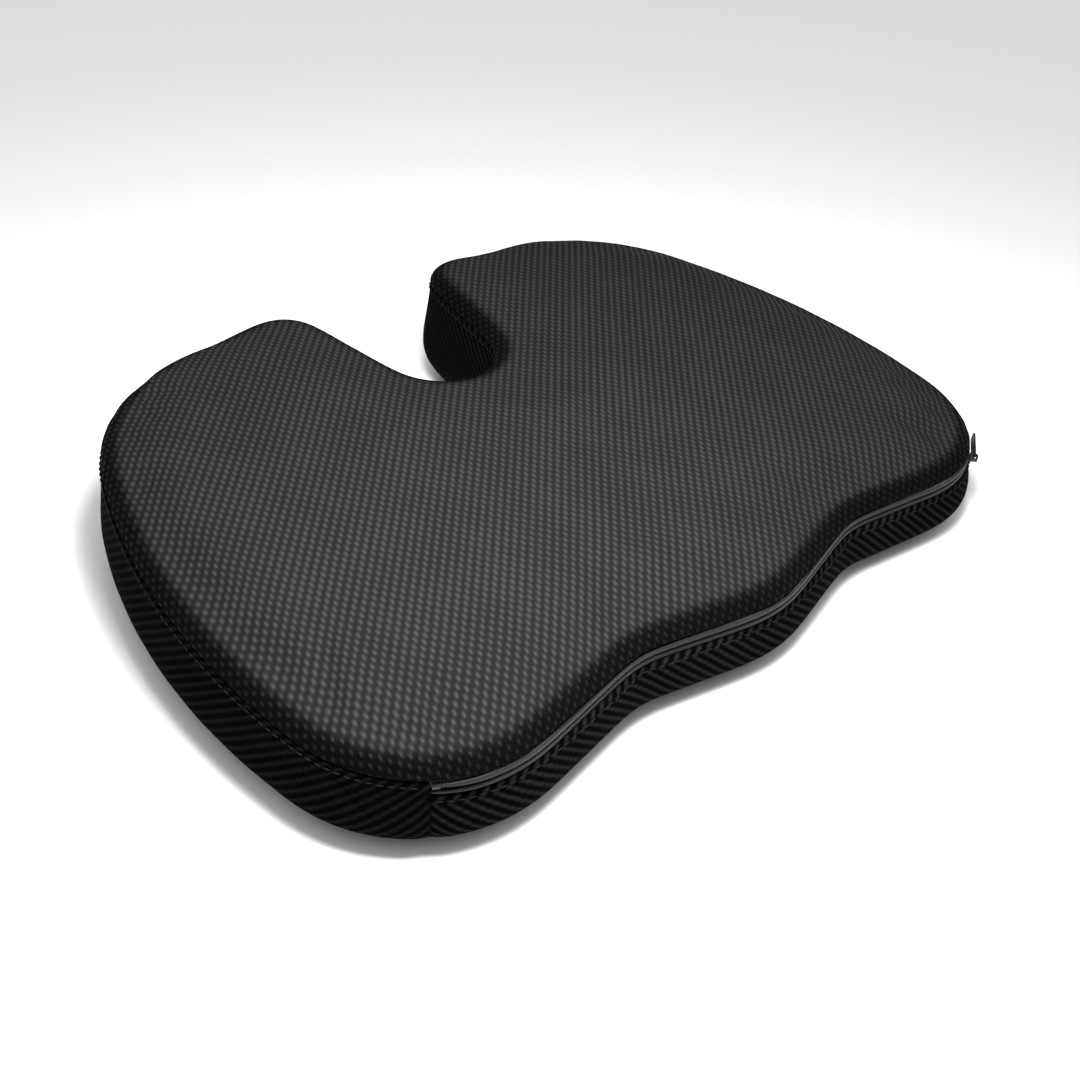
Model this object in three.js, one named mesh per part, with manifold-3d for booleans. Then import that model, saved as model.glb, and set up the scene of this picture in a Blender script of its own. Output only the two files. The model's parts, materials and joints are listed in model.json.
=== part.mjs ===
// A wedge seat cushion with a tailbone notch: a moulded foam core in a zipped spacer-mesh cover.
// Millimetres, +Z up. It rests on z = 0 with its thigh edge towards -Y and its notch towards +Y,
// and the origin is on the floor under the middle of the outline.
import * as THREE from "three";
import Module from "manifold-3d";

const wasm = await Module();
wasm.setup();

// Overall sizes
const width = 450;
const depth = 320;
const frontHeight = 46;
const backHeight = 73;

// Outline: a belt around discs, each disc one rounded stretch of the edge
const bulgeRadius = 78; // the middle of the thigh edge
const scallopRadius = 46;
const scallopDepth = 15.5; // behind the bulge
const cornerRadius = 70;
const cornerSetback = 5; // front corners behind the bulge
const sideRadius = 350;
const lobeRadius = 104; // outer corners of the two back lobes
const lobeSetIn = 14.5; // lobes narrower than the front corners, each side
const lobeSetback = 5; // outer corners in front of the back edge
const lipRadius = 24; // inner corners of the lobes, beside the notch
const notchWidth = 64;
const notchMouth = 82;
const notchDepth = 107;
const arcStep = 6; // degrees between points on an arc

// Cover
const fabric = 4; // spacer mesh
const baseFabric = 1.8; // anti-slip bottom panel
const gap = 0.3; // between pieces that touch
const rollHeight = 8.5; // the top panel's rolled edge, above its seam
const rollInset = 12;
const tuck = 8; // how far the side bands curl under at the floor
const tuckShare = 0.4; // the lower part of a band that curls
const bandBulge = 4.5; // the most a side band stands out, a third of the way up

// Zip along the thigh edge, just under the top panel's seam
const zipEndAngle = 56; // its ends on the front corners, degrees from straight sideways
const tapeHeight = 2.6; // each of the two tapes
const tapeThickness = 0.6;
const chainGap = 1.2; // between the two tapes, where the slider's web runs
const coilThickness = 1.1;
const coilHeight = 1.9;
const stopLength = 3;

// Slider and its pull tab
const sliderLength = 9;
const sliderHeight = 6;
const plateThickness = 0.9;
const innerPlateThickness = 0.6;
const innerPlateHeight = 5.2;
const webThickness = 0.6;
const webLength = 5;
const sliderClearance = 0.4;
const bailLength = 6;
const bailClear = 2.3;
const bailWall = 1;
const bailWidth = 1.6;
const pullLength = 22;
const pullWidth = 5.6;
const pullThickness = 1;
const eyeLength = 3.6;
const eyeWidth = 2.6;
const pullClearance = 0.2; // between the tab and the slider at rest

const front = -depth / 2;
const back = depth / 2;
const rad = THREE.MathUtils.degToRad;
const slope = (backHeight - frontHeight) / depth;
const zipBelowSeam = gap + chainGap / 2 + tapeHeight; // centre of the zip below the top panel's seam

// Height of the seam under the top panel's rolled edge; the top is a plane parallel to it.
function seamHeight(y) {
  return frontHeight - rollHeight + slope * (y - front);
}

// Discs of the right half from the bulge to the notch: centre and signed radius, negative where hollow.
function rightDiscs() {
  const cornerY = front + cornerSetback + cornerRadius;
  const lobeY = back - lobeSetback - lobeRadius;
  // the side arc touches the corner's and the lobe's discs from outside
  const lobeOffset = cornerRadius - lobeSetIn - lobeRadius;
  const rise = lobeY - cornerY;
  const reach = Math.hypot(lobeOffset, rise);
  const toCorner = sideRadius - cornerRadius;
  const toLobe = sideRadius - lobeRadius;
  const along = (reach ** 2 + toCorner ** 2 - toLobe ** 2) / (2 * reach);
  const across = Math.sqrt(toCorner ** 2 - along ** 2);
  const sideOffset = (lobeOffset * along - rise * across) / reach;
  const sideY = cornerY + (rise * along + lobeOffset * across) / reach;
  const widest = Math.max(cornerRadius, sideY > cornerY ? sideOffset + sideRadius : 0);
  const cornerX = width / 2 - widest;
  const scallopShare = (bulgeRadius + scallopRadius) / (bulgeRadius + 2 * scallopRadius + cornerRadius);
  const scallopX = cornerX * scallopShare;
  const scallopRoom = (scallopX ** 2 + scallopDepth ** 2) / (2 * scallopDepth) - bulgeRadius;
  const hollow = Math.min(scallopRadius, scallopRoom);
  return [
    { name: "scallop", x: scallopX, y: front + scallopDepth - hollow, r: -hollow },
    { name: "corner", x: cornerX, y: cornerY, r: cornerRadius },
    { name: "side", x: cornerX + sideOffset, y: sideY, r: sideRadius },
    { name: "lobe", x: cornerX + lobeOffset, y: lobeY, r: lobeRadius },
    { name: "lip", x: notchMouth / 2 + lipRadius, y: back - lipRadius, r: lipRadius },
  ];
}

const right = rightDiscs();
const corner = right.find((disc) => disc.name === "corner");
const discs = [
  { name: "bulge", x: 0, y: front + bulgeRadius, r: bulgeRadius, marks: [{ name: "middle", angle: -90 }] },
  ...right,
  {
    name: "notch",
    x: 0,
    y: back - notchDepth + notchWidth / 2,
    r: -notchWidth / 2,
    marks: [{ name: "notch", angle: 90 }],
  },
  ...right.map((disc) => ({ ...disc, x: -disc.x })).reverse(),
];
const cornerIndex = discs.indexOf(corner);
discs[cornerIndex].marks = [{ name: "zipRight", angle: -zipEndAngle }];
discs[discs.length - cornerIndex].marks = [{ name: "zipLeft", angle: zipEndAngle - 180 }];

// Direction of the outward normal on the straight run from one disc to the next, in radians.
function tangentAngle(from, to) {
  const dx = to.x - from.x;
  const dy = to.y - from.y;
  const ratio = THREE.MathUtils.clamp((from.r - to.r) / Math.hypot(dx, dy), -1, 1);
  return Math.atan2(dy, dx) - Math.acos(ratio);
}

// The angle nearest to a reference that points the same way.
function near(angle, reference) {
  return angle - 2 * Math.PI * Math.round((angle - reference) / (2 * Math.PI));
}

// The whole edge, anticlockwise from above: points with their outward normals, some of them marked.
function makeOutline() {
  const points = [];
  discs.forEach((disc, i) => {
    const before = discs[(i + discs.length - 1) % discs.length];
    const after = discs[(i + 1) % discs.length];
    const start = tangentAngle(before, disc);
    const end = near(tangentAngle(disc, after), start);
    const steps = Math.max(2, Math.ceil(Math.abs(end - start) / rad(arcStep)));
    const stops = Array.from({ length: steps + 1 }, (_, k) => ({
      angle: start + ((end - start) * k) / steps,
    }));
    for (const mark of disc.marks ?? []) {
      const angle = near(rad(mark.angle), (start + end) / 2);
      const off = (stop) => Math.abs(stop.angle - angle);
      const nearest = stops.reduce((a, b) => (off(b) < off(a) ? b : a));
      nearest.angle = angle;
      nearest.mark = mark.name;
    }
    for (const { angle, mark } of stops) {
      const nx = Math.cos(angle);
      const ny = Math.sin(angle);
      points.push({ x: disc.x + disc.r * nx, y: disc.y + disc.r * ny, nx, ny, mark });
    }
  });
  return points.filter((p, i) => {
    const q = points[(i + points.length - 1) % points.length];
    return p.mark || Math.hypot(p.x - q.x, p.y - q.y) > 0.01;
  });
}

const outline = makeOutline();

// The stretch of the edge from one mark to another, anticlockwise.
function stretch(from, to) {
  const first = outline.findIndex((p) => p.mark === from);
  const last = outline.findIndex((p) => p.mark === to);
  const count = ((last - first + outline.length) % outline.length) + 1;
  return Array.from({ length: count }, (_, k) => outline[(first + k) % outline.length]);
}

// Closed mesh from rings of equally many points, its first and last ring capped.
// flat is a ring in a plane of its own, anticlockwise about the way the rings go.
function loft(rings, flat) {
  const count = rings[0].length;
  const index = [];
  for (let r = 0; r + 1 < rings.length; r++) {
    for (let i = 0; i < count; i++) {
      const a = r * count + i;
      const b = r * count + ((i + 1) % count);
      index.push(a, b, b + count, a, b + count, a + count);
    }
  }
  const last = (rings.length - 1) * count;
  for (const [a, b, c] of THREE.ShapeUtils.triangulateShape(flat, [])) {
    index.push(a, c, b);
    index.push(last + a, last + b, last + c);
  }
  const geometry = new THREE.BufferGeometry();
  geometry.setAttribute("position", new THREE.Float32BufferAttribute(rings.flat(2), 3));
  geometry.setIndex(index);
  geometry.computeVertexNormals();
  return geometry;
}

// Ring round the whole edge: inset towards the middle, at a height that may follow the seam.
function ring(inset, height) {
  return outline.map((p) => [p.x - p.nx * inset, p.y - p.ny * inset, height(p.y - p.ny * inset, p)]);
}

function layered(levels) {
  const flat = outline.map((p) => new THREE.Vector2(p.x, p.y));
  return loft(
    levels.map(({ inset, height }) => ring(inset, height)),
    flat,
  );
}

// Inset of the side bands' outer face, from u = 0 at the floor to u = 1 at the seam.
function sideInset(u) {
  const curl = Math.max(0, 1 - u / tuckShare);
  const bulge = (27 / 4) * u * (1 - u) ** 2; // 1 at its highest, where u is a third
  return tuck * curl ** 2 - bandBulge * bulge;
}

const sideShares = [0, 0.1, 0.2, 0.3, 0.4, 0.55, 0.7, 0.85, 1];
const rollAngles = [0, 18, 36, 54, 72, 90];
const floorClear = baseFabric + gap; // lowest point of what stands on the bottom panel

// The rolled edge at a given depth under the outer surface, from the seam up.
function rollLevels(under) {
  return rollAngles.map((angle) => {
    const inset = under + (rollInset - under) * (1 - Math.cos(rad(angle)));
    const rise = (rollHeight - under) * Math.sin(rad(angle));
    return { inset, height: (y) => seamHeight(y) + gap / 2 + rise };
  });
}

function foamCore() {
  const under = fabric + gap;
  const sides = sideShares.slice(0, -1).map((u) => ({
    inset: sideInset(u) + under,
    height: (y) => floorClear + (seamHeight(y) - floorClear) * u,
  }));
  return layered([...sides, ...rollLevels(under)]);
}

function topPanel() {
  return layered([...rollLevels(fabric).reverse(), ...rollLevels(0)]);
}

function bottomPanel() {
  const inset = sideInset(0);
  return layered([
    { inset, height: () => 0 },
    { inset, height: () => baseFabric },
  ]);
}

// A strip of the cover's side along part of the edge, its top a given drop below the seam.
function band(points, drop) {
  const rings = points.map((p) => {
    const at = (u, under) => {
      const share = u * (1 - drop / (seamHeight(p.y) - floorClear));
      const inset = sideInset(share) + under;
      const y = p.y - p.ny * inset;
      return [p.x - p.nx * inset, y, floorClear + (seamHeight(y) - floorClear) * share];
    };
    const outer = sideShares.map((u) => at(u, 0)).reverse();
    const inner = sideShares.map((u) => at(u, fabric));
    return [...outer, ...inner];
  });
  const outerFlat = sideShares.map((u) => new THREE.Vector2(sideInset(u), u * frontHeight)).reverse();
  const innerFlat = sideShares.map((u) => new THREE.Vector2(sideInset(u) + fabric, u * frontHeight));
  return loft(rings, [...outerFlat, ...innerFlat]);
}

// Local frame on the zip's centre line: x along it, y inwards, z square to the seam's plane.
function zipFrame(p) {
  const along = new THREE.Vector3(-p.ny, p.nx, p.nx * slope).normalize();
  const up = new THREE.Vector3(0, -slope, 1).normalize();
  const inward = new THREE.Vector3().crossVectors(up, along);
  const place = new THREE.Vector3(p.x, p.y, seamHeight(p.y) - zipBelowSeam);
  return new THREE.Matrix4().makeBasis(along, inward, up).setPosition(place);
}

// A strip of rectangular section along the zip, from depth y0 to y1 and height z0 to z1.
function zipStrip(points, y0, y1, z0, z1) {
  const section = [
    [y0, z1],
    [y0, z0],
    [y1, z0],
    [y1, z1],
  ];
  const rings = points.map((p) => {
    const frame = zipFrame(p);
    return section.map(([y, z]) => new THREE.Vector3(0, y, z).applyMatrix4(frame).toArray());
  });
  return loft(
    rings,
    section.map(([y, z]) => new THREE.Vector2(y, z)),
  );
}

// Point on a front corner's arc, by the direction of its outward normal.
function cornerPoint(angle) {
  const nx = Math.cos(rad(angle));
  const ny = Math.sin(rad(angle));
  return { x: corner.x + cornerRadius * nx, y: corner.y + cornerRadius * ny, nx, ny };
}

const degreesPerMm = 180 / (Math.PI * cornerRadius);

// Part of the zip's line, cut short of both of its ends by a length in millimetres.
function zipLine(short) {
  const endAngle = -zipEndAngle - short * degreesPerMm;
  const end = cornerPoint(endAngle);
  const start = { x: -end.x, y: end.y, nx: -end.nx, ny: end.ny };
  const inside = stretch("zipLeft", "zipRight").filter((p) => Math.abs(p.x) < end.x - 1);
  return [start, ...inside, end];
}

// manifold-3d solid of a geometry that is closed.
function solid(geometry) {
  const welded = geometry.index ? geometry.toNonIndexed() : geometry;
  const position = welded.getAttribute("position");
  const found = new Map();
  const vertices = [];
  const triangles = [];
  for (let i = 0; i < position.count; i++) {
    const point = [position.getX(i), position.getY(i), position.getZ(i)];
    const key = point.map((v) => Math.round(v * 1e4)).join();
    if (!found.has(key)) {
      found.set(key, found.size);
      vertices.push(...point);
    }
    triangles.push(found.get(key));
  }
  return new wasm.Manifold(
    new wasm.Mesh({
      numProp: 3,
      vertProperties: new Float32Array(vertices),
      triVerts: new Uint32Array(triangles),
    }),
  );
}

function geometryOf(manifold) {
  const mesh = manifold.getMesh();
  const geometry = new THREE.BufferGeometry();
  geometry.setAttribute("position", new THREE.Float32BufferAttribute(mesh.vertProperties, 3));
  geometry.setIndex(Array.from(mesh.triVerts));
  const faceted = geometry.toNonIndexed();
  faceted.computeVertexNormals();
  return faceted;
}

// Box about the middle of the zip's line, from depth y0 to y1.
function centredBox(length, y0, y1, height) {
  return new THREE.BoxGeometry(length, y1 - y0, height).translate(0, (y0 + y1) / 2, 0);
}

function extruded(shape, length) {
  return new THREE.ExtrudeGeometry(shape, { depth: length, bevelEnabled: false, curveSegments: 5 });
}

// Places along y, inwards from the face of the tapes.
const coilStart = tapeThickness + gap;
const coilEnd = coilStart + coilThickness;
const innerPlateStart = coilEnd + sliderClearance;
const innerPlateEnd = innerPlateStart + innerPlateThickness;
const outerPlateEnd = -sliderClearance;
const outerPlateStart = outerPlateEnd - plateThickness;
const pullPivot = outerPlateStart - bailClear / 2;

// The tab leans in towards the band until it is just clear of the slider's nose.
const pullRestTurn = Math.atan2((bailClear - pullThickness) / 2 - pullClearance, sliderLength / 2);

// Outer plate seen from the front: a shield, broad where it leads and narrow where it trails.
function shield() {
  const half = sliderLength / 2;
  const nose = sliderHeight / 2;
  const tail = nose * 0.72;
  const shape = new THREE.Shape();
  shape.moveTo(-half, -tail);
  shape.lineTo(half * 0.3, -nose);
  shape.quadraticCurveTo(half, -nose, half, 0);
  shape.quadraticCurveTo(half, nose, half * 0.3, nose);
  shape.lineTo(-half, tail);
  const plate = extruded(shape, plateThickness);
  return plate.rotateX(Math.PI / 2).translate(0, outerPlateEnd, 0);
}

// The arch that holds the pull tab, standing on the outer plate.
function bail() {
  const half = bailLength / 2;
  const height = bailClear + bailWall;
  const shape = new THREE.Shape();
  shape.moveTo(-half, -plateThickness / 2);
  shape.lineTo(half, -plateThickness / 2);
  shape.lineTo(half, height - bailWall);
  shape.quadraticCurveTo(half, height, half - bailWall, height);
  shape.lineTo(bailWall - half, height);
  shape.quadraticCurveTo(-half, height, -half, height - bailWall);
  const eye = new THREE.Path();
  eye.moveTo(bailWall - half, 0);
  eye.lineTo(bailWall - half, bailClear);
  eye.lineTo(half - bailWall, bailClear);
  eye.lineTo(half - bailWall, 0);
  shape.holes.push(eye);
  return extruded(shape, bailWidth).rotateX(Math.PI).translate(0, outerPlateStart, bailWidth / 2);
}

function slider() {
  const middle = (outerPlateStart + outerPlateEnd) / 2;
  const web = centredBox(webLength, middle, innerPlateEnd, webThickness);
  const inner = centredBox(sliderLength, innerPlateStart, innerPlateEnd, innerPlateHeight);
  const whole = solid(shield()).add(solid(bail())).add(solid(web)).add(solid(inner));
  return geometryOf(whole);
}

// Pull tab about its own pivot: x towards its tip, y inwards.
function pullTab() {
  const half = pullWidth / 2;
  const bar = pullThickness / 2;
  const shape = new THREE.Shape();
  shape.moveTo(-bar, -half);
  shape.lineTo(pullLength - half, -half);
  shape.quadraticCurveTo(pullLength, -half, pullLength, 0);
  shape.quadraticCurveTo(pullLength, half, pullLength - half, half);
  shape.lineTo(-bar, half);
  const eye = new THREE.Path();
  eye.moveTo(bar, -eyeWidth / 2);
  eye.lineTo(bar, eyeWidth / 2);
  eye.lineTo(bar + eyeLength, eyeWidth / 2);
  eye.lineTo(bar + eyeLength, -eyeWidth / 2);
  shape.holes.push(eye);
  return extruded(shape, pullThickness).rotateX(Math.PI / 2).translate(0, pullThickness / 2, 0);
}

const cushion = new THREE.Group();
cushion.name = "seat_cushion";

function addPart(parent, name, geometry, color, roughness, metalness = 0) {
  const material = new THREE.MeshStandardMaterial({ color, roughness, metalness });
  const mesh = new THREE.Mesh(geometry, material);
  mesh.name = name;
  parent.add(mesh);
  return mesh;
}

const meshBlack = 0x1c1c1d;
const baseBlack = 0x161617;
const tapeBlack = 0x222224;
const coilBlack = 0x121213;
const gunmetal = 0x2c2d30;

addPart(cushion, "foam_core", foamCore(), 0xe8e2cf, 0.95);
addPart(cushion, "top_panel", topPanel(), meshBlack, 0.8);
addPart(cushion, "right_side_band", band(stretch("zipRight", "notch"), gap / 2), meshBlack, 0.85);
addPart(cushion, "left_side_band", band(stretch("notch", "zipLeft"), gap / 2), meshBlack, 0.85);
addPart(cushion, "front_band", band(stretch("zipLeft", "zipRight"), 2 * zipBelowSeam), meshBlack, 0.85);
addPart(cushion, "bottom_panel", bottomPanel(), baseBlack, 0.9);

// Zip tapes reach both ends; the coils stop short of them, between the two stops.
const tapeNear = chainGap / 2;
const tapeFar = tapeNear + tapeHeight;
const coilFar = tapeNear + coilHeight;
const tapeLine = zipLine(gap);
const coilLine = zipLine(2 * gap + stopLength);
for (const [side, low, tape, coil] of [
  ["upper", tapeNear, tapeFar, coilFar],
  ["lower", -tapeNear, -tapeFar, -coilFar],
]) {
  const tapeStrip = zipStrip(tapeLine, 0, tapeThickness, Math.min(low, tape), Math.max(low, tape));
  const coilStrip = zipStrip(coilLine, coilStart, coilEnd, Math.min(low, coil), Math.max(low, coil));
  addPart(cushion, "zip_tape_" + side, tapeStrip, tapeBlack, 0.55);
  addPart(cushion, "zip_coil_" + side, coilStrip, coilBlack, 0.4);
}

// A stop bridges both coils at each end of the chain.
const stopAngle = zipEndAngle + (gap + stopLength / 2) * degreesPerMm;
const rightStop = cornerPoint(-stopAngle);
const leftStop = { x: -rightStop.x, y: rightStop.y, nx: -rightStop.nx, ny: rightStop.ny };
for (const [name, place] of [
  ["zip_end_stop_right", rightStop],
  ["zip_end_stop_left", leftStop],
]) {
  const block = centredBox(stopLength, coilStart, coilEnd, 2 * coilFar);
  addPart(cushion, name, block.applyMatrix4(zipFrame(place)), gunmetal, 0.4, 0.8);
}

// The slider waits beside the right stop, the pull tab turned away from the chain.
const sliderAngle = stopAngle + (stopLength / 2 + sliderClearance + sliderLength / 2) * degreesPerMm;
const sliderGroup = new THREE.Group();
sliderGroup.applyMatrix4(zipFrame(cornerPoint(-sliderAngle)));
cushion.add(sliderGroup);
addPart(sliderGroup, "zip_slider", slider(), gunmetal, 0.35, 0.9);
const pull = addPart(sliderGroup, "zip_pull", pullTab(), gunmetal, 0.35, 0.9);
pull.position.set(0, pullPivot, 0);
pull.rotation.z = pullRestTurn;

export default cushion;
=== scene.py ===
import bpy
import bmesh
import json
import math
from mathutils import Matrix, Vector, geometry


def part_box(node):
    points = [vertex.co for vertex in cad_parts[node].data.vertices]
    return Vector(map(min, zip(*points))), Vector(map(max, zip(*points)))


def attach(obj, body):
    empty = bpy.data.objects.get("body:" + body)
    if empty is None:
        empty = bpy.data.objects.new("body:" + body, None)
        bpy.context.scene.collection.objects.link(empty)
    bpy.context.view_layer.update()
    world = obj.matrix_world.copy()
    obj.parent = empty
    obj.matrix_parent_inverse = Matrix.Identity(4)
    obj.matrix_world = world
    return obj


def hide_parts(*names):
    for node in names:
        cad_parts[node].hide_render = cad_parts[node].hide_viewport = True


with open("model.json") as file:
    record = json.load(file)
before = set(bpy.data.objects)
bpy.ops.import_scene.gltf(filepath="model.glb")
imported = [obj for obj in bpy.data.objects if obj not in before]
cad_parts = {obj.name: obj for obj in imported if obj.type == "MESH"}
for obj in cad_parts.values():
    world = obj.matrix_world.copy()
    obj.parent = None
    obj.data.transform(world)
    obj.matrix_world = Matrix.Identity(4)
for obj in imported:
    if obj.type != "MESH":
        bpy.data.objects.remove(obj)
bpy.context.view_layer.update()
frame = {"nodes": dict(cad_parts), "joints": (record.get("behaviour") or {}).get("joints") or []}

# Seat cushion with a tailbone notch. Metres, thigh edge towards -Y, resting on z = 0.

nodes = frame["nodes"]
joints = {joint["name"]: joint for joint in frame["joints"]}

cover = {
    "step": 0.0045,         # between stations round the edge
    "fillStep": 0.0065,     # between points on the flat top
    "baseStep": 0.012,
    "rollHeight": 0.0085,   # the top panel's rolled edge above its seam
    "rollInset": 0.012,
    "bulge": 0.0045,        # the most a side band stands out
    "tuckShare": 0.4,       # lower part of a band that curls under
    "floorClear": 0.0021,
    "dotRoom": 0.0005,      # the base cloth's height over the floor, on its dots
    "zipDrop": 0.0035,      # zip's centre below the seam
    "zipRoom": 0.0069,      # the front band starts this far below the seam
    "thickness": 0.0012,
}
swell = {"pressure": 4.0, "frames": 20, "topCap": 0.005, "sideCap": 0.0015, "edge": 0.035}
seamDip = {"depth": 0.0017, "side": 0.0009}


def smoothStep(low, high, value):
    t = min(1.0, max(0.0, (value - low) / (high - low)))
    return t * t * (3 - 2 * t)


# the cushion's edge, read from the underside of the CAD base panel

def panelRim(node):
    form = bmesh.new()
    form.from_mesh(nodes[node].data)
    bmesh.ops.remove_doubles(form, verts=form.verts, dist=1e-6)
    form.normal_update()
    under = {face for face in form.faces if face.normal.z < -0.9}
    following = {}
    for face in under:
        for loop in face.loops:
            if all(other is face or other not in under for other in loop.edge.link_faces):
                following[loop.link_loop_next.vert] = loop.vert
    start = next(iter(following))
    rim = [start.co.xy.copy()]
    vert = following[start]
    while vert is not start:
        rim.append(vert.co.xy.copy())
        vert = following[vert]
    form.free()
    return rim


def resample(points, step, origin):
    # even spacing round a closed line, starting nearest to origin
    first = min(range(len(points)), key=lambda i: (points[i] - origin).length)
    points = points[first:] + points[:first]
    lengths = [(points[(i + 1) % len(points)] - p).length for i, p in enumerate(points)]
    total = sum(lengths)
    count = round(total / step)
    made, walked, i = [], 0.0, 0
    for k in range(count):
        target = total * k / count
        while walked + lengths[i] < target:
            walked += lengths[i]
            i += 1
        made.append(points[i].lerp(points[(i + 1) % len(points)], (target - walked) / lengths[i]))
    return made


def normalsOf(points):
    normals = []
    for i in range(len(points)):
        along = points[(i + 1) % len(points)] - points[i - 1]
        normals.append(Vector((along.y, -along.x)).normalized())
    return normals


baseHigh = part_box("bottom_panel")[1]
topLow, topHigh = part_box("top_panel")
tuck = topHigh.x - baseHigh.x
notchMiddle = min((p for p in panelRim("bottom_panel") if p.y > 0), key=lambda p: abs(p.x) + p.y)
rim = resample(panelRim("bottom_panel"), cover["step"], notchMiddle)
for _ in range(4):
    rim = [(rim[i - 1] + rim[(i + 1) % len(rim)] + 2 * p) / 4 for i, p in enumerate(rim)]
rimNormals = normalsOf(rim)
edge = [p + n * tuck for p, n in zip(rim, rimNormals)]
edgeNormals = normalsOf(edge)
stations = len(edge)
edgeLength = [0.0]
for i in range(stations):
    edgeLength.append(edgeLength[-1] + (edge[(i + 1) % stations] - edge[i]).length)
print("edge:", stations, "stations,", round(edgeLength[-1], 3), "m round")

# the seam lies in a plane square to the slider's hinge axis
axis = Vector(joints["slider_run"]["axis"])
slope = -axis.y / axis.z
seamFront = topLow.z - 0.00015      # half the gap that stands for the sewing


def seamHeight(y):
    return seamFront + slope * (y - topLow.y)


def stationNear(x, y):
    return min(range(stations), key=lambda i: (edge[i] - Vector((x, y))).length)


frontLow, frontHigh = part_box("front_band")
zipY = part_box("zip_end_stop_right")[0].y
zipRight = stationNear(frontHigh.x, zipY)
zipLeft = stationNear(frontLow.x, zipY)


# profile of the cover, from the floor up: inset, height, and fabric length from the seam

def bandInset(share):
    curl = max(0.0, 1 - share / cover["tuckShare"])
    return tuck * curl ** 2 - cover["bulge"] * 6.75 * share * (1 - share) ** 2


bandShares = [0, 0.05, 0.11, 0.18, 0.26, 0.35, 0.45, 0.56, 0.67, 0.78, 0.87, 0.94, 1]
zipDrops = [cover["zipRoom"] - seamDip["side"], 0.0046, 0.0023, seamDip["side"], 0]
rollAngles = [0, 6, 14, 24, 36, 49, 62, 76, 90]


def bandPoint(i, share, drop=cover["zipRoom"]):
    # share counts up to the zip, and drop is the distance below the seam over it
    top = seamHeight(edge[i].y)
    low = cover["floorClear"]
    z = low + (top - drop - low) * share
    inset = bandInset((z - low) / (top - low))
    x, y = edge[i] - edgeNormals[i] * inset
    z += seamHeight(y) - top if drop < cover["zipRoom"] else 0
    return Vector((x, y, z if share > 0 else cover["dotRoom"]))


def rollPoint(i, angle):
    turn = math.radians(angle)
    inset = cover["rollInset"] * (1 - math.cos(turn))
    x, y = edge[i] - edgeNormals[i] * inset
    return Vector((x, y, seamHeight(y) + cover["rollHeight"] * math.sin(turn)))


def inside(point, ring):
    odd = False
    x, y = point
    for a, b in zip(ring, ring[1:] + ring[:1]):
        if (a[1] > y) != (b[1] > y) and x < (b[0] - a[0]) * (y - a[1]) / (b[1] - a[1]) + a[0]:
            odd = not odd
    return odd


def fill(ring, step):
    # triangles that fill a flat ring, with a staggered grid of points inside it
    corners = [Vector((p.x, p.y)) for p in ring]
    lowX, highX = min(p.x for p in corners), max(p.x for p in corners)
    lowY, highY = min(p.y for p in corners), max(p.y for p in corners)
    rowStep = step * math.sqrt(0.75)
    points = list(corners)
    flat = [tuple(p) for p in corners]
    row = 0
    y = lowY
    while y < highY:
        x = lowX + (step / 2 if row % 2 else 0)
        while x < highX:
            if inside((x, y), flat):
                away = min((p.x - x) ** 2 + (p.y - y) ** 2 for p in corners)
                if away > (0.6 * step) ** 2:
                    points.append(Vector((x, y)))
            x += step
        y += rowStep
        row += 1
    rimEdges = [(i, (i + 1) % len(corners)) for i in range(len(corners))]
    made = geometry.delaunay_2d_cdt(points, rimEdges, [list(range(len(corners)))], 1, 1e-7)
    return made[0], made[2], made[3]


# The closed form of the stuffed cover: base, bands, rolled edge and top in one mesh.
def stuffedForm():
    points, faces, parts, fabric = [], [], [], []

    def addRing(ring):
        first = len(points)
        points.extend(ring)
        return list(range(first, first + len(ring)))

    bandRings = [addRing([bandPoint(i, share) for i in range(stations)]) for share in bandShares]
    bandRings += [addRing([bandPoint(i, 1, down) for i in range(stations)]) for down in zipDrops]
    rollRings = [bandRings[-1]]
    rollRings += [addRing([rollPoint(i, angle) for i in range(stations)]) for angle in rollAngles[1:]]

    def drop(i, rings):
        # fabric length down each profile, from its last ring
        total, made = 0.0, [0.0]
        for upper, lower in zip(rings[::-1], rings[-2::-1]):
            total += (points[upper[i]] - points[lower[i]]).length
            made.append(total)
        return made[::-1]

    def strip(rings, part, place):
        for k in range(len(rings) - 1):
            for i in range(stations):
                j = (i + 1) % stations
                faces.append((rings[k][i], rings[k][j], rings[k + 1][j], rings[k + 1][i]))
                parts.append(part)
                fabric.append((place(k, i, 0), place(k, i, 1), place(k + 1, i, 1), place(k + 1, i, 0)))

    bandDrop = [drop(i, bandRings) for i in range(stations)]
    rollDrop = [drop(i, rollRings) for i in range(stations)]

    def bandPlace(k, i, side):
        return (bandDrop[(i + side) % stations][k], edgeLength[i + side])

    def rollPlace(k, i, side):
        j = (i + side) % stations
        out = edgeNormals[j] * rollDrop[j][k]
        top = points[rollRings[-1][j]]
        return (top.x + out.x, top.y + out.y)

    strip(bandRings, "band", bandPlace)
    strip(rollRings, "top", rollPlace)
    for rings, part, step in ((rollRings, "top", cover["fillStep"]), (bandRings, "base", cover["baseStep"])):
        ring = rings[-1] if part == "top" else rings[0]
        flat, triangles, source = fill([points[v] for v in ring], step)
        index = {}
        for k, (place, origins) in enumerate(zip(flat, source)):
            known = [o for o in origins if o < stations]
            if known:
                index[k] = ring[known[0]]
            else:
                z = seamHeight(place.y) + cover["rollHeight"] if part == "top" else cover["dotRoom"]
                index[k] = len(points)
                points.append(Vector((place.x, place.y, z)))
        for triangle in triangles:
            face = [index[k] for k in triangle]
            a, b, c = (points[v] for v in face)
            upward = (b - a).cross(c - a).z > 0
            if upward != (part == "top"):
                face.reverse()
            faces.append(tuple(face))
            parts.append(part)
            fabric.append(tuple((points[v].x, points[v].y) for v in face))
    return points, faces, parts, fabric, bandRings, rollRings


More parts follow.
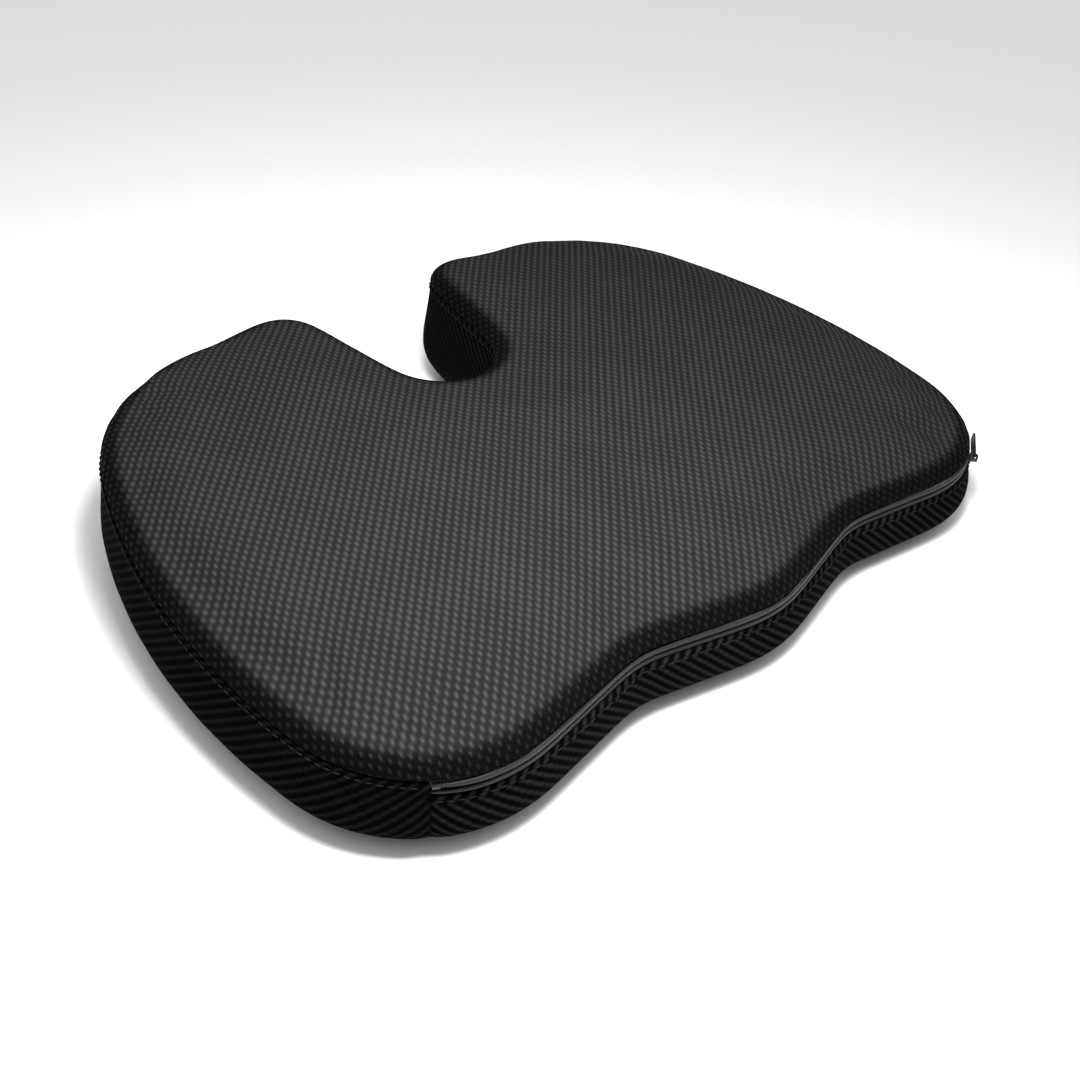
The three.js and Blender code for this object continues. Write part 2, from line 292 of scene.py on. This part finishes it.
points, faces, parts, fabric, bandRings, rollRings = stuffedForm()
seamRing = set(bandRings[-1])
print("form:", len(points), "points,", len(faces), "faces")


def newMesh(name, verts, polygons):
    mesh = bpy.data.meshes.new(name)
    mesh.from_pydata([tuple(v) for v in verts], [], polygons)
    mesh.update()
    return mesh


def newObject(name, mesh):
    made = bpy.data.objects.new(name, mesh)
    bpy.context.scene.collection.objects.link(made)
    return made


# The cover is blown up against its seams as cloth, and each point keeps a share of its move.
def swollen(points, faces):
    form = newObject("coverForm", newMesh("coverForm", points, faces))
    held = form.vertex_groups.new(name="held")
    for i, p in enumerate(points):
        if p.z < 0.001 or i in seamRing:
            held.add([i], 1.0, "REPLACE")
    cloth = form.modifiers.new("cloth", "CLOTH")
    cloth.settings.quality = 5
    cloth.settings.mass = 0.3
    cloth.settings.tension_stiffness = 25
    cloth.settings.compression_stiffness = 25
    cloth.settings.shear_stiffness = 12
    cloth.settings.bending_stiffness = 2
    cloth.settings.use_pressure = True
    cloth.settings.uniform_pressure_force = swell["pressure"]
    cloth.settings.vertex_group_mass = "held"
    cloth.settings.effector_weights.gravity = 0
    cloth.collision_settings.use_collision = False
    cloth.point_cache.frame_start = 1
    cloth.point_cache.frame_end = swell["frames"]
    scene = bpy.context.scene
    for number in range(1, swell["frames"] + 1):
        scene.frame_set(number)
    evaluated = form.evaluated_get(bpy.context.evaluated_depsgraph_get())
    moved = [v.co.copy() for v in evaluated.data.vertices]
    scene.frame_set(1)
    bpy.data.objects.remove(form)
    made = []
    for before, after in zip(points, moved):
        move = after - before
        above = before.z - seamHeight(before.y)
        cap = swell["sideCap"]
        if above > 0:
            depthIn = min((before.xy - p).length for p in edge[::3])
            cap += (swell["topCap"] - cap) * smoothStep(0.004, swell["edge"], depthIn)
        if move.length > cap:
            move = move.normalized() * cap
        made.append(before + move)
    return made


shaped = swollen(points, faces)
print("swelling:", round(1000 * max((a - b).length for a, b in zip(points, shaped)), 2), "mm at most")


# seams: the line itself is drawn in, so that each panel rounds over towards it

def frontStation(i):
    return zipLeft <= i <= zipRight


for i in range(stations):
    inward = -edgeNormals[i].to_3d() * seamDip["depth"]
    shaped[bandRings[-1][i]] += inward
    if frontStation(i):
        shaped[bandRings[len(bandShares) - 1][i]] += inward
for ring in bandRings[:len(bandShares)]:
    for i in (zipLeft, zipRight):
        shaped[ring[i]] -= edgeNormals[i].to_3d() * seamDip["depth"] * 0.6


# panels: each is cut from the stuffed form along its seams, and keeps its fabric lengths

def panel(name, chosen, node):
    used = sorted({v for k in chosen for v in faces[k]})
    index = {v: n for n, v in enumerate(used)}
    mesh = newMesh(name, [shaped[v] for v in used], [[index[v] for v in faces[k]] for k in chosen])
    layer = mesh.uv_layers.new(name="fabric")
    corner = 0
    for k in chosen:
        for place in fabric[k]:
            layer.data[corner].uv = place
            corner += 1
    mesh.polygons.foreach_set("use_smooth", [True] * len(chosen))
    made = newObject(name, mesh)
    smooth = made.modifiers.new("round", "SUBSURF")
    smooth.levels = 1
    smooth.render_levels = 1
    smooth.boundary_smooth = "PRESERVE_CORNERS"
    thick = made.modifiers.new("cloth", "SOLIDIFY")
    thick.thickness = cover["thickness"]
    thick.offset = -1
    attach(made, "cushion")
    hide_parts(node)
    return made


def partOf(k):
    # which panel a face belongs to
    if parts[k] != "band":
        return parts[k]
    station = k % stations      # band faces come first, ring by ring
    level = k // stations
    if zipLeft <= station < zipRight:
        return "front" if level < len(bandShares) - 1 else "zip"
    return "left" if station < zipLeft else "right"


panels = {}
for k in range(len(faces)):
    panels.setdefault(partOf(k), []).append(k)
topPanel = panel("topPanel", panels["top"], "top_panel")
leftBand = panel("leftSideBand", panels["left"], "left_side_band")
rightBand = panel("rightSideBand", panels["right"], "right_side_band")
frontBand = panel("frontBand", panels["front"], "front_band")
basePanel = panel("basePanel", panels["base"], "bottom_panel")
print("panels:", {name: len(chosen) for name, chosen in panels.items()})


# foam core: the same form, drawn in by the cover's thickness

foam = {"depth": 0.0044}


def foamForm():
    form = bmesh.new()
    form.from_mesh(newMesh("foamCore", shaped, faces))
    form.normal_update()
    for vert in form.verts:
        vert.co -= vert.normal * foam["depth"]
    for _ in range(2):
        bmesh.ops.smooth_vert(form, verts=form.verts, factor=0.5, use_axis_x=True, use_axis_y=True,
                              use_axis_z=True)
    made = bpy.data.meshes.new("foamCore")
    for face in form.faces:
        face.smooth = True
    form.to_mesh(made)
    form.free()
    return made


foamCore = newObject("foamCore", foamForm())
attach(foamCore, "cushion")
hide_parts("foam_core")


# zip lips: one rounded strip over each tape

lip = {"width": 0.00295, "slit": 0.0006, "back": 0.00055, "proud": 0.0013, "flat": 0.0005, "taper": 5}


def lipProud(i):
    # flatter along the slider's run round the right corner
    turn = math.degrees(math.atan2(edgeNormals[i].y, edgeNormals[i].x))
    return lip["flat"] + (lip["proud"] - lip["flat"]) * smoothStep(0, 14, -100 - turn if turn < 0 else 14)


def zipLip(name, middle, node):
    verts, polygons = [], []
    around = 12
    rows = list(range(zipLeft, zipRight + 1))
    for i in rows:
        x, y = edge[i]
        normal = edgeNormals[i].to_3d()
        ending = smoothStep(-1, lip["taper"], min(i - zipLeft, zipRight - i))
        for k in range(around):
            turn = 2 * math.pi * k / around
            out = math.cos(turn)
            out *= lipProud(i) * ending if out > 0 else lip["back"]
            rise = math.sin(turn) * lip["width"] * (0.4 + 0.6 * ending) / 2 - middle
            verts.append(Vector((x, y, seamHeight(y) + rise)) + normal * out)
    for r in range(len(rows) - 1):
        for k in range(around):
            m = (k + 1) % around
            polygons.append((r * around + k, (r + 1) * around + k, (r + 1) * around + m, r * around + m))
    polygons.append(tuple(range(around)))
    last = (len(rows) - 1) * around
    polygons.append(tuple(last + k for k in reversed(range(around))))
    mesh = newMesh(name, verts, polygons)
    layer = mesh.uv_layers.new(name="fabric")
    for polygon in mesh.polygons:
        for corner, vert in zip(polygon.loop_indices, polygon.vertices):
            layer.data[corner].uv = ((vert % around) * 0.0007, edgeLength[zipLeft + vert // around])
    mesh.polygons.foreach_set("use_smooth", [len(p.vertices) == 4 for p in mesh.polygons])
    made = newObject(name, mesh)
    smooth = made.modifiers.new("round", "SUBSURF")
    smooth.levels = 1
    smooth.render_levels = 1
    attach(made, "cushion")
    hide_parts(node)
    return made


lipShift = (lip["width"] + lip["slit"]) / 2
upperLip = zipLip("zipLipUpper", cover["zipDrop"] - lipShift, "zip_tape_upper")
lowerLip = zipLip("zipLipLower", cover["zipDrop"] + lipShift, "zip_tape_lower")


# stitches: short rounded dashes on the bands, just below the seams

stitch = {"length": 0.0029, "radius": 0.00034, "pitch": 0.0043, "sideDrop": 0.0024, "frontRoom": 0.0022,
          "endRoom": 0.002, "notchRoom": 0.004}


def surfaceAt(distance, drop):
    # a place on the band and its way out, at a length round the edge and a drop below the seam
    low, high = 0, stations
    while high - low > 1:
        middle = (low + high) // 2
        if edgeLength[middle] <= distance:
            low = middle
        else:
            high = middle
    share = (distance - edgeLength[low]) / (edgeLength[low + 1] - edgeLength[low])
    column = []
    for station in (low, (low + 1) % stations):
        target = seamHeight(edge[station].y) - drop
        heights = [(shaped[ring[station]], ring) for ring in bandRings]
        place = heights[-1][0]
        for (lower, _), (upper, _) in zip(heights, heights[1:]):
            if lower.z <= target <= upper.z:
                place = lower.lerp(upper, (target - lower.z) / (upper.z - lower.z))
        column.append(place)
    outward = edgeNormals[low].lerp(edgeNormals[(low + 1) % stations], share).to_3d()
    return column[0].lerp(column[1], share), outward.normalized()


def stitchRow(start, end, drop, verts, polygons):
    around = 6
    along = [(0, 0.35), (0.12, 0.85), (0.5, 1), (0.88, 0.85), (1, 0.35)]
    distance = start
    while distance + stitch["length"] < end:
        first, outA = surfaceAt(distance, drop)
        second, outB = surfaceAt(distance + stitch["length"], drop)
        course = (second - first).normalized()
        base = len(verts)
        for share, width in along:
            out = outA.lerp(outB, share).normalized()
            side = course.cross(out).normalized()
            middle = first.lerp(second, share) + out * stitch["radius"] * (1.6 * width - 1.0)
            for k in range(around):
                turn = 2 * math.pi * k / around
                away = out * math.cos(turn) + side * math.sin(turn)
                verts.append(middle + away * stitch["radius"] * width)
        for r in range(len(along) - 1):
            for k in range(around):
                m = (k + 1) % around
                a, b = base + r * around, base + (r + 1) * around
                polygons.append((a + k, b + k, b + m, a + m))
        polygons.append(tuple(base + k for k in range(around)))
        last = base + (len(along) - 1) * around
        polygons.append(tuple(last + k for k in reversed(range(around))))
        distance += stitch["pitch"]


def stitches():
    verts, polygons = [], []
    leftEnd, rightEnd = edgeLength[zipLeft], edgeLength[zipRight]
    room, notchEnd = stitch["endRoom"], stitch["notchRoom"]
    stitchRow(notchEnd, leftEnd - room, stitch["sideDrop"], verts, polygons)
    stitchRow(rightEnd + room, edgeLength[-1] - notchEnd, stitch["sideDrop"], verts, polygons)
    stitchRow(leftEnd + room, rightEnd - room, cover["zipRoom"] + stitch["frontRoom"], verts, polygons)
    mesh = newMesh("seamStitches", verts, polygons)
    mesh.polygons.foreach_set("use_smooth", [True] * len(mesh.polygons))
    return mesh


seamStitches = newObject("seamStitches", stitches())
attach(seamStitches, "cushion")
print("stitches:", len(seamStitches.data.vertices) // 30)


# anti-slip dots under the base

dots = {"pitch": 0.012, "radius": 0.0016, "margin": 0.006}


def dotField():
    ring = [tuple(shaped[v].xy) for v in bandRings[0]]
    lowX, highX = min(p[0] for p in ring), max(p[0] for p in ring)
    lowY, highY = min(p[1] for p in ring), max(p[1] for p in ring)
    verts, polygons = [], []
    rows = int((highY - lowY) / dots["pitch"])
    columns = int((highX - lowX) / dots["pitch"])
    sides = 8
    for row in range(rows + 1):
        for column in range(columns + 1):
            x = (column - columns / 2 + (row % 2) / 2) * dots["pitch"]
            y = (row - rows / 2) * dots["pitch"]
            away = min((x - p[0]) ** 2 + (y - p[1]) ** 2 for p in ring)
            if not inside((x, y), ring) or away < dots["margin"] ** 2:
                continue
            base = len(verts)
            for share, height in ((1, cover["dotRoom"] + 0.0003), (1, 0.00025), (0.6, 0.0)):
                for k in range(sides):
                    turn = 2 * math.pi * k / sides
                    reach = dots["radius"] * share
                    verts.append(Vector((x + reach * math.cos(turn), y + reach * math.sin(turn), height)))
            for r in range(2):
                for k in range(sides):
                    m = (k + 1) % sides
                    a, b = base + r * sides, base + (r + 1) * sides
                    polygons.append((a + m, a + k, b + k, b + m))
            polygons.append(tuple(base + k for k in range(sides)))
            polygons.append(tuple(base + 2 * sides + k for k in reversed(range(sides))))
    return newMesh("gripDots", verts, polygons)


gripDots = newObject("gripDots", dotField())
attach(gripDots, "cushion")
print("grip dots:", len(gripDots.data.vertices) // 24)


# shader groups

def newGroup(name, inputs, outputs):
    tree = bpy.data.node_groups.new(name, "ShaderNodeTree")
    for title, kind, value in inputs:
        socket = tree.interface.new_socket(title, in_out="INPUT", socket_type=kind)
        if value is not None:
            socket.default_value = value
    for title, kind in outputs:
        tree.interface.new_socket(title, in_out="OUTPUT", socket_type=kind)
    return tree, tree.nodes.new("NodeGroupInput"), tree.nodes.new("NodeGroupOutput")


def feed(tree, socket, value):
    if isinstance(value, bpy.types.NodeSocket):
        tree.links.new(value, socket)
    else:
        socket.default_value = value


def calc(tree, operation, *values, clamp=False):
    node = tree.nodes.new("ShaderNodeMath")
    node.operation = operation
    node.use_clamp = clamp
    for socket, value in zip(node.inputs, values):
        feed(tree, socket, value)
    return node.outputs[0]


def mixed(tree, share, first, second):
    node = tree.nodes.new("ShaderNodeMix")
    node.data_type = "RGBA"
    feed(tree, node.inputs["Factor"], share)
    feed(tree, node.inputs["A"], first)
    feed(tree, node.inputs["B"], second)
    return node.outputs["Result"]


def ramp(tree, value, low, high, first=0.0, last=1.0):
    node = tree.nodes.new("ShaderNodeMapRange")
    node.interpolation_type = "SMOOTHSTEP"
    for title, item in (("Value", value), ("From Min", low), ("From Max", high)):
        feed(tree, node.inputs[title], item)
    feed(tree, node.inputs["To Min"], first)
    feed(tree, node.inputs["To Max"], last)
    return node.outputs[0]


def noise(tree, place, scale, detail=2.0):
    node = tree.nodes.new("ShaderNodeTexNoise")
    feed(tree, node.inputs["Vector"], place)
    node.inputs["Scale"].default_value = scale
    node.inputs["Detail"].default_value = detail
    return node.outputs["Fac"]


# Beads knitted in slanting rows. Vector in metres: x across the cloth, y along it.
def beadWeaveGroup():
    tree, given, out = newGroup("beadWeave", [
        ("Vector", "NodeSocketVector", None),
        ("Across", "NodeSocketFloat", 0.00505),
        ("Along", "NodeSocketFloat", 0.0059),
        ("Rib", "NodeSocketFloat", 0.0),
        ("Wobble", "NodeSocketFloat", 0.12),
    ], [("Beads", "NodeSocketFloat"), ("Grooves", "NodeSocketFloat"), ("Height", "NodeSocketFloat")])
    split = tree.nodes.new("ShaderNodeSeparateXYZ")
    tree.links.new(given.outputs["Vector"], split.inputs[0])
    drift = calc(tree, "SUBTRACT", noise(tree, given.outputs["Vector"], 260, 1), 0.5)
    drift = calc(tree, "MULTIPLY", drift, given.outputs["Wobble"])
    u = calc(tree, "DIVIDE", split.outputs["X"], given.outputs["Across"])
    v = calc(tree, "DIVIDE", split.outputs["Y"], given.outputs["Along"])
    across = calc(tree, "ADD", calc(tree, "SUBTRACT", u, v), drift)
    along = calc(tree, "SUBTRACT", calc(tree, "ADD", u, v), drift)

    def wave(value, share):
        turned = calc(tree, "COSINE", calc(tree, "MULTIPLY", value, 2 * math.pi))
        return calc(tree, "MULTIPLY", turned, share)

    loose = calc(tree, "SUBTRACT", 1.0, given.outputs["Rib"])
    rows = wave(across, calc(tree, "MULTIPLY_ADD", given.outputs["Rib"], 0.55, 0.35))
    crossing = wave(along, calc(tree, "MULTIPLY_ADD", loose, 0.29, 0.06))
    columns = wave(calc(tree, "MULTIPLY", u, 2.0), calc(tree, "MULTIPLY", loose, 0.3))
    height = calc(tree, "ADD", calc(tree, "ADD", rows, crossing), columns)
    tree.links.new(height, out.inputs["Height"])
    tree.links.new(ramp(tree, height, 0.0, 0.95), out.inputs["Beads"])
    tree.links.new(ramp(tree, height, -0.45, 0.05, 1.0, 0.0), out.inputs["Grooves"])
    return tree


# Fine yarn grain and broad colour drift.
def yarnGroup():
    tree, given, out = newGroup("yarn", [
        ("Vector", "NodeSocketVector", None),
        ("Grain", "NodeSocketFloat", 1800.0),
    ], [("Fine", "NodeSocketFloat"), ("Broad", "NodeSocketFloat")])
    fine = tree.nodes.new("ShaderNodeTexNoise")
    tree.links.new(given.outputs["Vector"], fine.inputs["Vector"])
    tree.links.new(given.outputs["Grain"], fine.inputs["Scale"])
    tree.links.new(fine.outputs["Fac"], out.inputs["Fine"])
    tree.links.new(noise(tree, given.outputs["Vector"], 28, 3), out.inputs["Broad"])
    return tree


groups = {"beadWeave": beadWeaveGroup(), "yarn": yarnGroup()}


def useGroup(tree, name, **values):
    node = tree.nodes.new("ShaderNodeGroup")
    node.node_tree = groups[name]
    for title, value in values.items():
        feed(tree, node.inputs[title], value)
    return node


def newMaterial(name, roughness, metallic=0.0, specular=0.5, sheen=0.0):
    made = bpy.data.materials.new(name)
    made.use_nodes = True
    tree = made.node_tree
    shader = tree.nodes["Principled BSDF"]
    shader.inputs["Roughness"].default_value = roughness
    shader.inputs["Metallic"].default_value = metallic
    shader.inputs["Specular IOR Level"].default_value = specular
    shader.inputs["Sheen Weight"].default_value = sheen
    shader.inputs["Sheen Roughness"].default_value = 0.5
    return made, tree, shader


def bumped(tree, shader, height, strength, distance):
    node = tree.nodes.new("ShaderNodeBump")
    node.inputs["Strength"].default_value = strength
    node.inputs["Distance"].default_value = distance
    tree.links.new(height, node.inputs["Height"])
    tree.links.new(node.outputs["Normal"], shader.inputs["Normal"])


def fabricPlace(tree, scale=(1, 1, 1), turn=0):
    uv = tree.nodes.new("ShaderNodeUVMap")
    uv.uv_map = "fabric"
    mapping = tree.nodes.new("ShaderNodeMapping")
    mapping.inputs["Scale"].default_value = scale
    mapping.inputs["Rotation"].default_value = (0, 0, math.radians(turn))
    tree.links.new(uv.outputs[0], mapping.inputs["Vector"])
    return mapping.outputs[0]


def objectPlace(tree):
    return tree.nodes.new("ShaderNodeTexCoord").outputs["Object"]


# spacer mesh

# topCloth is the mesh's colour under the lamps; the side and front bands use darker copies of the same mesh
# as painted shade
topCloth = {"ground": (0.0114, 0.0114, 0.0116, 1), "yarn": (0.0146, 0.0146, 0.0149, 1),
            "paintedBeadHighlight": (0.0280, 0.0280, 0.0284, 1), "paintedGrooveShade": (0.0076, 0.0076, 0.0078, 1), "bump": 0.00038,
            "ior": 1.1, "gloss": (0.8, 0.45), "turn": 3.5, "across": 0.00505, "along": 0.0059}
shadedSideCloth = {"ground": (0.0022, 0.0022, 0.0023, 1), "yarn": (0.0030, 0.0030, 0.0031, 1),
             "paintedBeadHighlight": (0.0062, 0.0062, 0.0064, 1), "paintedGrooveShade": (0.0011, 0.0011, 0.0012, 1), "bump": 0.0004,
             "ior": 1.04, "gloss": (0.9, 0.75), "turn": 0, "across": 0.0050, "along": 0.0060}
shadedFrontCloth = {**shadedSideCloth, "ground": (0.0042, 0.0042, 0.0043, 1), "paintedBeadHighlight": (0.0110, 0.0110, 0.0112, 1)}
# painted shade for the rolled edge: dark ground and dark beads
paintedRollColours = ((0.0009, 0.0009, 0.0010, 1), (0.0060, 0.0060, 0.0062, 1))


def meshCloth(name, colours, flip=1, fold=0.0, rib=0.2, shade=False):
    made, tree, shader = newMaterial(name, 0.62)
    shader.inputs["IOR"].default_value = colours["ior"]
    place = fabricPlace(tree, (1, flip, 1), colours["turn"])
    if fold:
        split = tree.nodes.new("ShaderNodeSeparateXYZ")
        tree.links.new(place, split.inputs[0])
        join = tree.nodes.new("ShaderNodeCombineXYZ")
        folded = calc(tree, "ABSOLUTE", calc(tree, "SUBTRACT", split.outputs["X"], fold))
        tree.links.new(folded, join.inputs["X"])
        tree.links.new(split.outputs["Y"], join.inputs["Y"])
        place = join.outputs[0]
    weave = useGroup(tree, "beadWeave", Vector=place, Rib=rib, Across=colours["across"],
                     Along=colours["along"])
    yarn = useGroup(tree, "yarn", Vector=place)
    cloth = mixed(tree, ramp(tree, yarn.outputs["Broad"], 0.35, 0.65), colours["ground"], colours["yarn"])
    # darker in the grooves between beads: painted shade in the recesses
    cloth = mixed(tree, weave.outputs["Grooves"], cloth, colours["paintedGrooveShade"])
    fleck = ramp(tree, yarn.outputs["Fine"], 0.2, 0.7, 0.55, 1.0)
    # lighter beads: the knit's own raised pattern, with painted highlight in their colour
    lit = calc(tree, "MULTIPLY", weave.outputs["Beads"], fleck)
    cloth = mixed(tree, lit, cloth, colours["paintedBeadHighlight"])
    # painted shade: darken the top panel towards its rolled edge
    if shade:
        edgeShade = tree.nodes.new("ShaderNodeAttribute")
        edgeShade.attribute_name = "paintedRollShade"
        dark = mixed(tree, lit, *paintedRollColours)
        cloth = mixed(tree, edgeShade.outputs["Fac"], cloth, dark)
    tree.links.new(cloth, shader.inputs["Base Color"])
    tree.links.new(ramp(tree, weave.outputs["Beads"], 0, 1, *colours["gloss"]), shader.inputs["Roughness"])
    height = calc(tree, "MULTIPLY_ADD", yarn.outputs["Fine"], 0.18, weave.outputs["Height"])
    bumped(tree, shader, height, 0.9, colours["bump"])
    return made


def plainCloth(name, first, second, roughness, grain, bump, specular=0.3):
    made, tree, shader = newMaterial(name, roughness, specular=specular)
    yarn = useGroup(tree, "yarn", Vector=objectPlace(tree), Grain=grain)
    blend = calc(tree, "MULTIPLY", yarn.outputs["Fine"], yarn.outputs["Broad"])
    tree.links.new(mixed(tree, ramp(tree, blend, 0.1, 0.4), first, second), shader.inputs["Base Color"])
    tree.links.new(ramp(tree, yarn.outputs["Fine"], 0.2, 0.8, roughness + 0.08, roughness - 0.08),
                   shader.inputs["Roughness"])
    bumped(tree, shader, yarn.outputs["Fine"], 0.6, bump)
    return made


# Zip tape: a flat twill, slightly glossy where it rounds over.
def twillTape(name, first, second):
    made, tree, shader = newMaterial(name, 0.6, specular=0.2)
    place = fabricPlace(tree)
    split = tree.nodes.new("ShaderNodeSeparateXYZ")
    tree.links.new(place, split.inputs[0])
    course = calc(tree, "ADD", split.outputs["X"], split.outputs["Y"])
    line = calc(tree, "COSINE", calc(tree, "MULTIPLY", course, 2 * math.pi / 0.0009))
    line = calc(tree, "MULTIPLY_ADD", line, 0.5, 0.5)
    yarn = useGroup(tree, "yarn", Vector=objectPlace(tree), Grain=900.0)
    tree.links.new(mixed(tree, yarn.outputs["Broad"], first, second), shader.inputs["Base Color"])
    tree.links.new(ramp(tree, line, 0, 1, 0.7, 0.5), shader.inputs["Roughness"])
    bumped(tree, shader, calc(tree, "ADD", line, yarn.outputs["Fine"]), 0.35, 0.00012)
    return made


# Zip coil: close turns of nylon, square to the zip, lighter on each turn and darker between turns as painted
# highlight and shade.
def coilNylon(name):
    made, tree, shader = newMaterial(name, 0.35, specular=0.5)
    place = objectPlace(tree)
    split = tree.nodes.new("ShaderNodeSeparateXYZ")
    tree.links.new(place, split.inputs[0])
    turn = calc(tree, "COSINE", calc(tree, "MULTIPLY", split.outputs["X"], 2 * math.pi / 0.0012))
    turn = calc(tree, "MULTIPLY_ADD", turn, 0.5, 0.5)
    shadedNylon = mixed(tree, turn, (0.002, 0.002, 0.002, 1), (0.02, 0.02, 0.021, 1))
    tree.links.new(shadedNylon, shader.inputs["Base Color"])
    bumped(tree, shader, turn, 1.0, 0.0004)
    return made


# Painted zinc, rubbed a little brighter in patches.
def paintedMetal(name):
    made, tree, shader = newMaterial(name, 0.35, specular=0.3)
    yarn = useGroup(tree, "yarn", Vector=objectPlace(tree), Grain=2500.0)
    rub = ramp(tree, yarn.outputs["Fine"], 0.62, 0.75)
    paint = mixed(tree, rub, (0.004, 0.004, 0.0042, 1), (0.022, 0.022, 0.0225, 1))
    tree.links.new(paint, shader.inputs["Base Color"])
    tree.links.new(ramp(tree, yarn.outputs["Fine"], 0.3, 0.8, 0.28, 0.42), shader.inputs["Roughness"])
    bumped(tree, shader, yarn.outputs["Fine"], 0.3, 0.00004)
    return made


# Open-cell foam: fine pits in a pale grey, darker in the pits as painted shade.
def foamCells(name):
    made, tree, shader = newMaterial(name, 0.85, specular=0.2)
    cells = tree.nodes.new("ShaderNodeTexVoronoi")
    cells.inputs["Scale"].default_value = 900
    tree.links.new(objectPlace(tree), cells.inputs["Vector"])
    tree.links.new(mixed(tree, ramp(tree, cells.outputs["Distance"], 0.1, 0.5), (0.02, 0.02, 0.022, 1),
                         (0.09, 0.09, 0.095, 1)), shader.inputs["Base Color"])
    bumped(tree, shader, cells.outputs["Distance"], 0.7, 0.0004)
    return made


materials = {
    "top": meshCloth("topMesh", topCloth, flip=1, rib=0.22, shade=True),
    "left": meshCloth("leftMesh", shadedSideCloth, flip=-1, rib=0.75),
    "right": meshCloth("rightMesh", shadedSideCloth, flip=1, rib=0.75),
    "front": meshCloth("frontMesh", shadedFrontCloth, flip=1, fold=cover["zipRoom"] + 0.0038, rib=0.75),
    "base": plainCloth("baseCloth", (0.006, 0.006, 0.0062, 1), (0.012, 0.012, 0.0125, 1),
                       0.8, 700.0, 0.0003),
    "dots": plainCloth("gripRubber", (0.010, 0.010, 0.0105, 1), (0.016, 0.016, 0.0165, 1),
                       0.5, 300.0, 0.0001),
    "thread": plainCloth("thread", (0.0025, 0.0025, 0.0026, 1), (0.006, 0.006, 0.0062, 1),
                         0.7, 2500.0, 0.0001, 0.1),
    # the lips are one tape colour: the upper lip lighter and the lower lip darker as painted light and shade
    "lipUpper": twillTape("lipUpperLitTwill", (0.0062, 0.0062, 0.0064, 1), (0.0092, 0.0092, 0.0094, 1)),
    "lipLower": twillTape("lipLowerShadedTwill", (0.0022, 0.0022, 0.0023, 1), (0.0038, 0.0038, 0.0040, 1)),
    "coil": coilNylon("coilNylon"),
    "metal": paintedMetal("zipMetal"),
    "foam": foamCells("foamCells"),
}


def dress(made, name):
    made.data.materials.clear()
    made.data.materials.append(materials[name])


for made, name in ((topPanel, "top"), (leftBand, "left"), (rightBand, "right"), (frontBand, "front"),
                   (basePanel, "base"), (gripDots, "dots"), (seamStitches, "thread"), (upperLip, "lipUpper"),
                   (lowerLip, "lipLower"), (foamCore, "foam"), (nodes["zip_coil_upper"], "coil"),
                   (nodes["zip_coil_lower"], "coil"), (nodes["zip_end_stop_right"], "metal"),
                   (nodes["zip_end_stop_left"], "metal"), (nodes["zip_slider"], "metal"),
                   (nodes["zip_pull"], "metal")):
    dress(made, name)

# painted shade: the top panel is darkened in colour near its edge, standing in for the shade on the rolled
# edge
shadeLayer = topPanel.data.attributes.new("paintedRollShade", "FLOAT", "POINT")
for vert in topPanel.data.vertices:
    away = min((vert.co.xy - p).length for p in edge[::2])
    shadeLayer.data[vert.index].value = 1 - smoothStep(0.0065, 0.0120, away)

for name in ("zip_slider", "zip_pull", "zip_end_stop_right", "zip_end_stop_left"):
    soften = nodes[name].modifiers.new("softEdge", "BEVEL")
    soften.width = 0.00018
    soften.segments = 2
    soften.limit_method = "ANGLE"
    soften.angle_limit = math.radians(40)
print("materials:", len(materials))


# floor, light and camera

stage = {"floor": (0.9, 0.9, 0.9, 1), "world": 0.35, "ceiling": 150.0, "key": 6.5}
floorMesh = newMesh("floor", [(-20, -20, 0), (20, -20, 0), (20, 20, 0), (-20, 20, 0)], [(0, 1, 2, 3)])
floor = newObject("floor", floorMesh)
floor.location.z = -0.0002
floorMaterial, _, floorShader = newMaterial("paleFloor", 0.9, specular=0.1)
floorShader.inputs["Base Color"].default_value = stage["floor"]
floorMesh.materials.append(floorMaterial)

world = bpy.data.worlds.new("studio")
world.use_nodes = True
world.node_tree.nodes["Background"].inputs["Color"].default_value = (1, 1, 1, 1)
world.node_tree.nodes["Background"].inputs["Strength"].default_value = stage["world"]
bpy.context.scene.world = world


def softLight(name, place, target, size, power):
    data = bpy.data.lights.new(name, "AREA")
    data.shape = "SQUARE"
    data.size = size
    data.energy = power
    made = bpy.data.objects.new(name, data)
    made.location = place
    made.rotation_euler = (Vector(target) - Vector(place)).to_track_quat("-Z", "Y").to_euler()
    made.visible_camera = False
    bpy.context.scene.collection.objects.link(made)


softLight("ceiling", (0.5, 0.5, 4.0), (0.5, 0.5, 0), 8.0, stage["ceiling"])
softLight("key", (-0.11, -0.15, 0.43), (-0.1, -0.14, 0), 0.2, stage["key"])

cameraSet = {"azimuth": -45.5, "elevation": 36.96, "distance": 0.6614, "target": (-0.0176, -0.0213),
             "roll": 3.79, "lens": 41.78}
turnA, turnE = math.radians(cameraSet["azimuth"]), math.radians(cameraSet["elevation"])
roll = math.radians(cameraSet["roll"])
back = Vector((math.sin(turnA) * math.cos(turnE), -math.cos(turnA) * math.cos(turnE), math.sin(turnE)))
right = Vector((math.cos(turnA), math.sin(turnA), 0))
up = back.cross(right)
rightRolled = right * math.cos(roll) + up * math.sin(roll)
upRolled = up * math.cos(roll) - right * math.sin(roll)
lensData = bpy.data.cameras.new("camera")
lensData.lens = cameraSet["lens"]
lensData.sensor_width = 36
lensData.clip_start = 0.02
camera = bpy.data.objects.new("camera", lensData)
bpy.context.scene.collection.objects.link(camera)
place = Vector((*cameraSet["target"], 0)) + back * cameraSet["distance"]
turned = Matrix((rightRolled, upRolled, back)).transposed().to_4x4()
camera.matrix_world = Matrix.Translation(place) @ turned
bpy.context.scene.camera = camera
bpy.context.scene.view_settings.view_transform = "Standard"

bpy.context.view_layer.update()
print("done")
